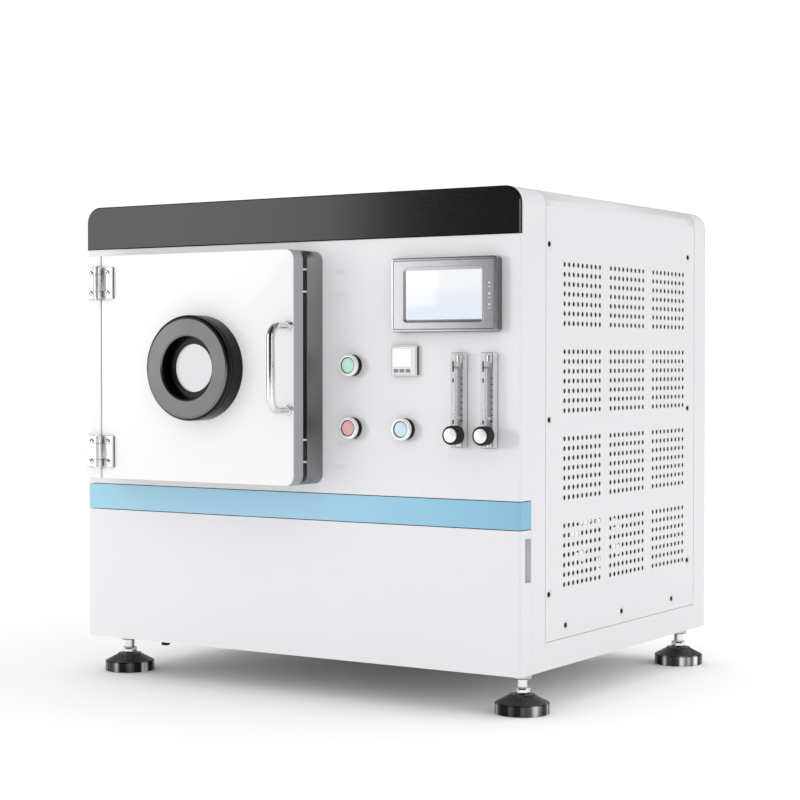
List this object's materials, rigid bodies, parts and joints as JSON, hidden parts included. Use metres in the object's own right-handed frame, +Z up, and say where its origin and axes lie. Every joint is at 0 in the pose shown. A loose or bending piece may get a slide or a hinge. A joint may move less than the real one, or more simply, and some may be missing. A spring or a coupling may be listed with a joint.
{
  "type": "plasma cleaner",
  "caption": "Bench-top vacuum plasma cleaner: white steel cabinet, hinged chamber door with a round window, touch panel, push buttons, flowmeters and levelling feet.",
  "frame": {"origin": "centre of the bounding box on the floor plane, under the four foot pads", "axes": "+Z up, front with the door and controls faces -Y, +X to the right seen from the front"},
  "size_m": [0.765, 0.7687, 0.708],
  "materials": {
    "cabinet_white": "satin powder coat",
    "black_plate": "gloss",
    "band_blue": "satin",
    "dark_metal": "satin",
    "chamber_metal": "machined",
    "door_metal": "fine brushed, anodised",
    "ring_metal": "anodised",
    "seal_rubber": "matte",
    "black_plastic": "matte",
    "polished_steel": "polished",
    "window_glass": "clear",
    "hmi_metal": "brushed",
    "screen_glass": "lit screen",
    "meter_white": "satin",
    "display_dark": "gloss",
    "key_grey": "satin",
    "bezel_silver": "satin chrome",
    "lens_green": "translucent gloss",
    "lens_red": "translucent gloss",
    "lens_blue": "translucent gloss",
    "clear_acrylic": "clear",
    "rail_plastic": "matte",
    "zinc_steel": "zinc plated",
    "fitting_brass": "nickel plated",
    "black_chrome": "black chrome"
  },
  "bodies": {
    "cabinet": {"chassis_frame": "cabinet_white", "u_cover": "cabinet_white", "header_panel": "black_plate", "band_trim": "band_blue", "foot_nuts": "dark_metal", "chamber_flange": "chamber_metal", "chamber_box": "chamber_metal", "hinge_block": "door_metal", "door_catches": "black_plastic", "hinge_fixed_leaves": "polished_steel", "hinge_pins": "polished_steel", "hmi_housing": "hmi_metal", "hmi_screen": "screen_glass", "meter_case": "meter_white", "meter_display": "display_dark", "button_collars": "black_plastic", "button_bezels": "bezel_silver", "button_blocks": "black_plastic", "flowmeter_a": "clear_acrylic", "flowmeter_b": "clear_acrylic", "tray_rails": "rail_plastic", "upper_electrode": "chamber_metal", "inner_deck": "zinc_steel", "rear_panel": "cabinet_white", "vacuum_port": "polished_steel", "vacuum_valve": "chamber_metal", "gas_inlet": "fitting_brass", "fan_frame": "black_plastic", "mains_inlet": "black_plastic", "rf_generator": "zinc_steel", "pressure_gauge": "polished_steel"},
    "door": {"door_plate": "door_metal", "door_back_plate": "chamber_metal", "door_seal": "seal_rubber", "hinge_door_leaves": "polished_steel", "window_ring": "ring_metal", "window_glass": "window_glass", "window_gasket": "seal_rubber", "door_handle": "polished_steel"},
    "lower_cover": {"lower_cover": "cabinet_white"},
    "start_button": {"start_button": "lens_green"},
    "stop_button": {"stop_button": "lens_red"},
    "power_button": {"power_button": "lens_blue"},
    "meter_key_1": {"meter_key_1": "key_grey"},
    "meter_key_2": {"meter_key_2": "key_grey"},
    "meter_key_3": {"meter_key_3": "key_grey"},
    "valve_knob_a": {"valve_knob_a": "black_plastic"},
    "valve_knob_b": {"valve_knob_b": "black_plastic"},
    "flow_float_a": {"flow_float_a": "polished_steel"},
    "flow_float_b": {"flow_float_b": "polished_steel"},
    "sample_tray": {"sample_tray": "chamber_metal"},
    "fan_rotor": {"fan_rotor": "black_plastic"},
    "pad_front_left": {"foot_pad_front_left": "black_chrome"},
    "stud_front_left": {"foot_stud_front_left": "polished_steel"},
    "pad_front_right": {"foot_pad_front_right": "black_chrome"},
    "stud_front_right": {"foot_stud_front_right": "polished_steel"},
    "pad_rear_left": {"foot_pad_rear_left": "black_chrome"},
    "stud_rear_left": {"foot_stud_rear_left": "polished_steel"},
    "pad_rear_right": {"foot_pad_rear_right": "black_chrome"},
    "stud_rear_right": {"foot_stud_rear_right": "polished_steel"}
  },
  "joints": [
    {"name": "door_hinge", "type": "hinge", "parent": "cabinet", "child": "door", "pos_m": [-0.2874, -0.34365, 0.4664], "axis": [0, 0, -1], "range_deg": [0, 170]},
    {"name": "start_button_press", "type": "slide", "parent": "cabinet", "child": "start_button", "axis": [0, 1, 0], "range_m": [0, 0.0035], "stiffness_N_per_m": 800},
    {"name": "stop_button_press", "type": "slide", "parent": "cabinet", "child": "stop_button", "axis": [0, 1, 0], "range_m": [0, 0.0035], "stiffness_N_per_m": 800},
    {"name": "power_button_press", "type": "slide", "parent": "cabinet", "child": "power_button", "axis": [0, 1, 0], "range_m": [0, 0.0035], "stiffness_N_per_m": 800},
    {"name": "meter_key_1_press", "type": "slide", "parent": "cabinet", "child": "meter_key_1", "axis": [0, 1, 0], "range_m": [0, 0.0008], "stiffness_N_per_m": 1500},
    {"name": "meter_key_2_press", "type": "slide", "parent": "cabinet", "child": "meter_key_2", "axis": [0, 1, 0], "range_m": [0, 0.0008], "stiffness_N_per_m": 1500},
    {"name": "meter_key_3_press", "type": "slide", "parent": "cabinet", "child": "meter_key_3", "axis": [0, 1, 0], "range_m": [0, 0.0008], "stiffness_N_per_m": 1500},
    {"name": "valve_knob_a_turn", "type": "hinge", "parent": "cabinet", "child": "valve_knob_a", "pos_m": [0.2854, -0.26565, 0.3775], "axis": [0, 1, 0], "range_deg": [0, 990]},
    {"name": "flow_float_a_rise", "type": "slide", "parent": "cabinet", "child": "flow_float_a", "axis": [0, 0, 1], "range_m": [0, 0.07]},
    {"name": "valve_knob_b_turn", "type": "hinge", "parent": "cabinet", "child": "valve_knob_b", "pos_m": [0.3315, -0.26565, 0.3775], "axis": [0, 1, 0], "range_deg": [0, 990]},
    {"name": "flow_float_b_rise", "type": "slide", "parent": "cabinet", "child": "flow_float_b", "axis": [0, 0, 1], "range_m": [0, 0.07]},
    {"name": "lower_cover_off", "type": "slide", "parent": "cabinet", "child": "lower_cover", "axis": [0, -1, 0], "range_m": [0, 0.06]},
    {"name": "sample_tray_slide", "type": "slide", "parent": "cabinet", "child": "sample_tray", "axis": [0, -1, 0], "range_m": [0, 0.015]},
    {"name": "fan_spin", "type": "hinge", "parent": "cabinet", "child": "fan_rotor", "pos_m": [0.185, 0.35435, 0.188], "axis": [0, 1, 0], "continuous": true},
    {"name": "foot_front_left_raise", "type": "slide", "parent": "cabinet", "child": "pad_front_left", "axis": [0, 0, -1], "range_m": [0, 0.012]},
    {"name": "foot_front_left_turn", "type": "hinge", "parent": "pad_front_left", "child": "stud_front_left", "pos_m": [-0.345, -0.20625, 0], "axis": [0, 0, -1], "range_deg": [0, 2480]},
    {"name": "foot_front_right_raise", "type": "slide", "parent": "cabinet", "child": "pad_front_right", "axis": [0, 0, -1], "range_m": [0, 0.012]},
    {"name": "foot_front_right_turn", "type": "hinge", "parent": "pad_front_right", "child": "stud_front_right", "pos_m": [0.345, -0.20625, 0], "axis": [0, 0, -1], "range_deg": [0, 2480]},
    {"name": "foot_rear_left_raise", "type": "slide", "parent": "cabinet", "child": "pad_rear_left", "axis": [0, 0, -1], "range_m": [0, 0.012]},
    {"name": "foot_rear_left_turn", "type": "hinge", "parent": "pad_rear_left", "child": "stud_rear_left", "pos_m": [-0.345, 0.30435, 0], "axis": [0, 0, -1], "range_deg": [0, 2480]},
    {"name": "foot_rear_right_raise", "type": "slide", "parent": "cabinet", "child": "pad_rear_right", "axis": [0, 0, -1], "range_m": [0, 0.012]},
    {"name": "foot_rear_right_turn", "type": "hinge", "parent": "pad_rear_right", "child": "stud_rear_right", "pos_m": [0.345, 0.30435, 0], "axis": [0, 0, -1], "range_deg": [0, 2480]}
  ],
  "couplings": [
    {"joint": "foot_front_left_turn", "follows": "foot_front_left_raise", "rad_per_m": 3590.4},
    {"joint": "foot_front_right_turn", "follows": "foot_front_right_raise", "rad_per_m": 3590.4},
    {"joint": "foot_rear_left_turn", "follows": "foot_rear_left_raise", "rad_per_m": 3590.4},
    {"joint": "foot_rear_right_turn", "follows": "foot_rear_right_raise", "rad_per_m": 3590.4}
  ]
}
